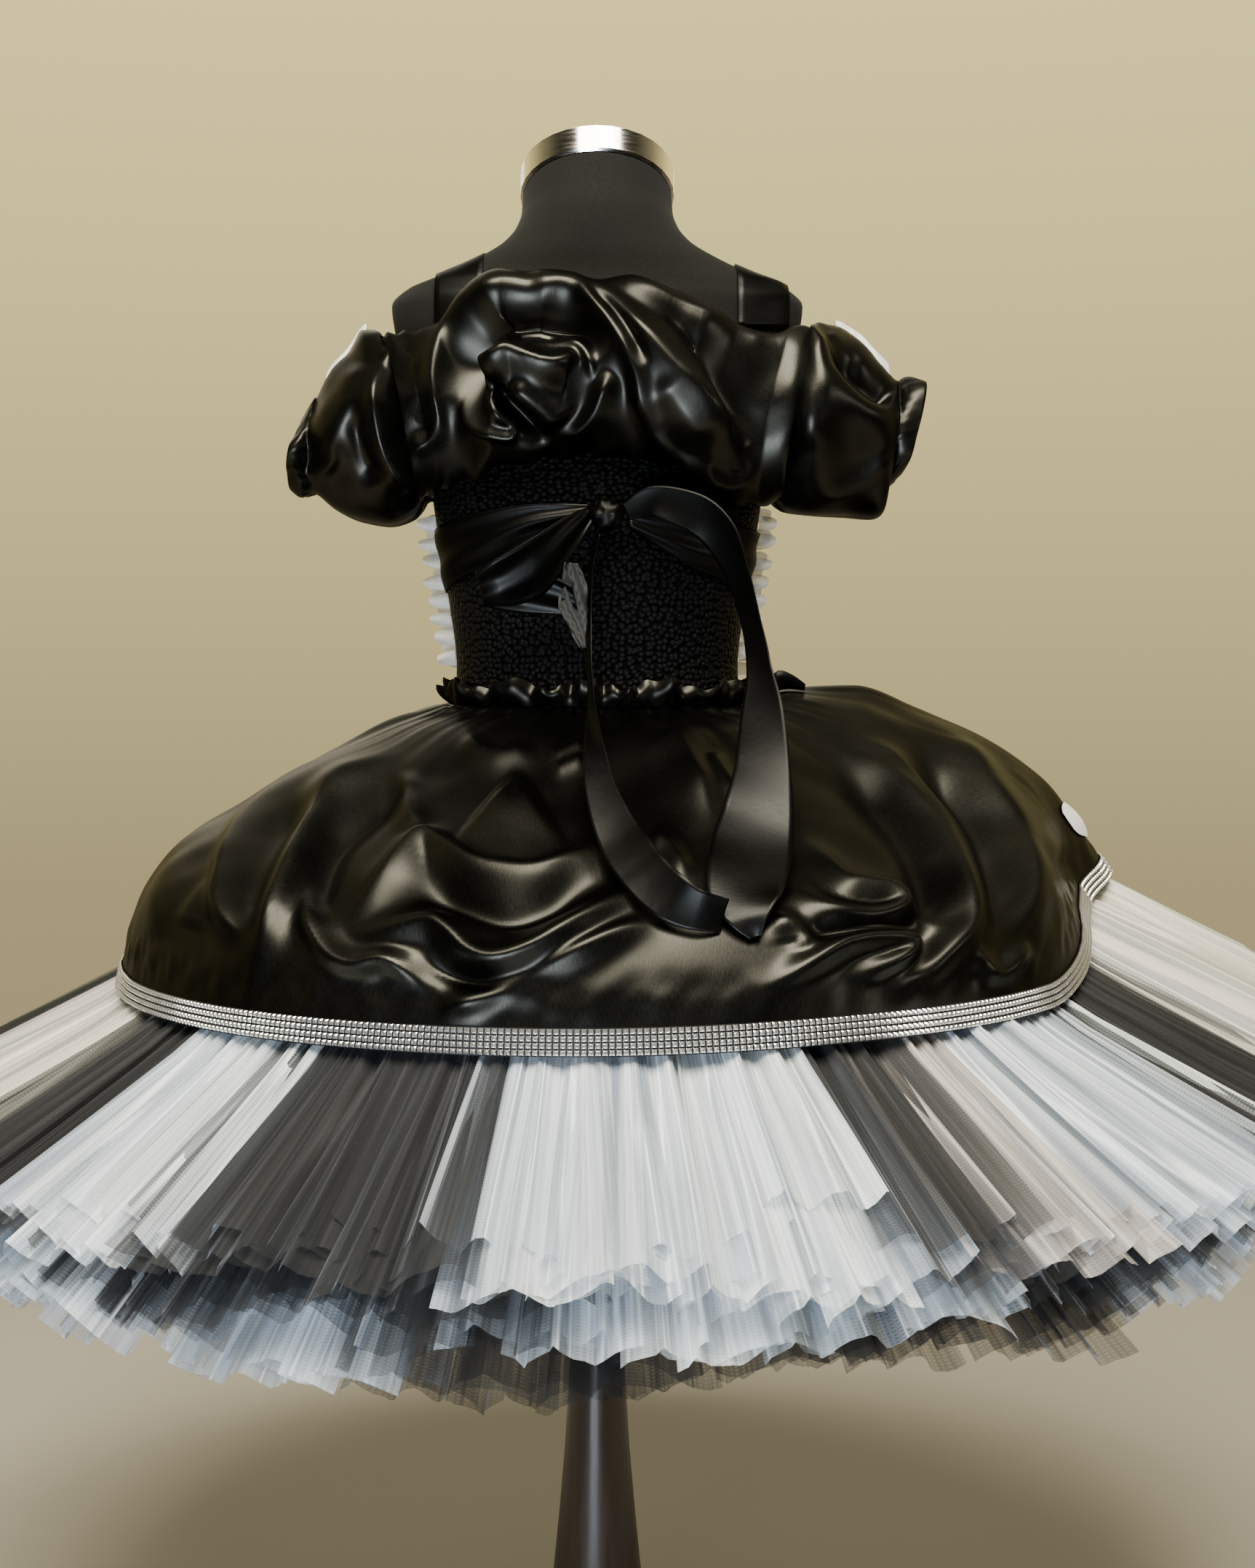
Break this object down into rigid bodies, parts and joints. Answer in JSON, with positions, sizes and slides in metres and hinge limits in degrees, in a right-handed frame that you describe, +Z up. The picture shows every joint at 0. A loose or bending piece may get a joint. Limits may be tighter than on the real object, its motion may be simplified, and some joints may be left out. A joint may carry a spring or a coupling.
{
  "type": "tutu dress on a dress form",
  "caption": "Child's tutu dress with puffed shoulders, gathered satin overskirt and layered tulle skirt, standing on a limbless dress form.",
  "frame": {"origin": "middle of the underside of the stand's base, below the body's axis", "axes": "+Z up along the body's axis, the wearer's front faces -Y and the wearer's left is +X"},
  "size_m": [0.9031, 0.8735, 1.0321],
  "materials": {
    "black_satin": "satin, dark, with soft highlights",
    "black_crochet": "matte waffle crochet",
    "black_tulle": "matte net",
    "white_tulle": "matte net, cool white",
    "cream_tulle": "matte net, warm white",
    "sheer_tulle": "sheer net, warm grey",
    "white_organza": "sheer, slightly crisp",
    "silver_stones": "rows of small faceted stones on a band",
    "form_jersey": "matte stretch jersey over a hard form",
    "cap_chrome": "polished metal",
    "stand_wood": "dark glossy varnish"
  },
  "bodies": {
    "root": {"bertha_back": "black_satin", "bertha_front": "black_satin", "bodice": "black_crochet", "bow_loop": "black_satin", "form_base": "stand_wood", "form_neck_cap": "cap_chrome", "form_pole": "stand_wood", "form_torso": "form_jersey", "hem_trim": "silver_stones", "loop_left": "black_satin", "loop_right": "black_satin", "overskirt": "black_satin", "overskirt_heading": "black_satin", "ribbon_end": "black_satin", "ribbon_knot": "black_satin", "side_ruffle_left": "white_organza", "side_ruffle_right": "white_organza", "skirt_edging": "white_organza", "sleeve_edging_left": "white_organza", "sleeve_edging_right": "white_organza", "sleeve_left": "black_satin", "sleeve_right": "black_satin", "strap_left": "black_satin", "strap_right": "black_satin", "tulle_lower_01_black": "black_tulle", "tulle_lower_02_white": "white_tulle", "tulle_lower_03_black": "black_tulle", "tulle_lower_04_white": "white_tulle", "tulle_lower_05_black": "black_tulle", "tulle_lower_06_white": "white_tulle", "tulle_middle_01_white": "white_tulle", "tulle_middle_02_black": "black_tulle", "tulle_middle_03_white": "white_tulle", "tulle_middle_04_black": "black_tulle", "tulle_middle_05_white": "white_tulle", "tulle_middle_06_black": "black_tulle", "tulle_middle_07_white": "white_tulle", "tulle_middle_08_black": "black_tulle", "tulle_top_01_white": "white_tulle", "tulle_top_02_black": "black_tulle", "tulle_top_03_white": "white_tulle", "tulle_top_04_black": "black_tulle", "tulle_top_05_cream": "cream_tulle", "tulle_top_06_black": "black_tulle", "tulle_top_07_white": "white_tulle", "tulle_top_08_black": "black_tulle", "tulle_top_09_white": "white_tulle", "tulle_top_10_black": "black_tulle", "tulle_top_11_cream": "cream_tulle", "tulle_top_12_black": "black_tulle", "tulle_top_13_white": "white_tulle", "tulle_top_14_sheer": "sheer_tulle", "tulle_top_15_black": "black_tulle", "waist_ribbon": "black_satin"}
  },
  "joints": []
}
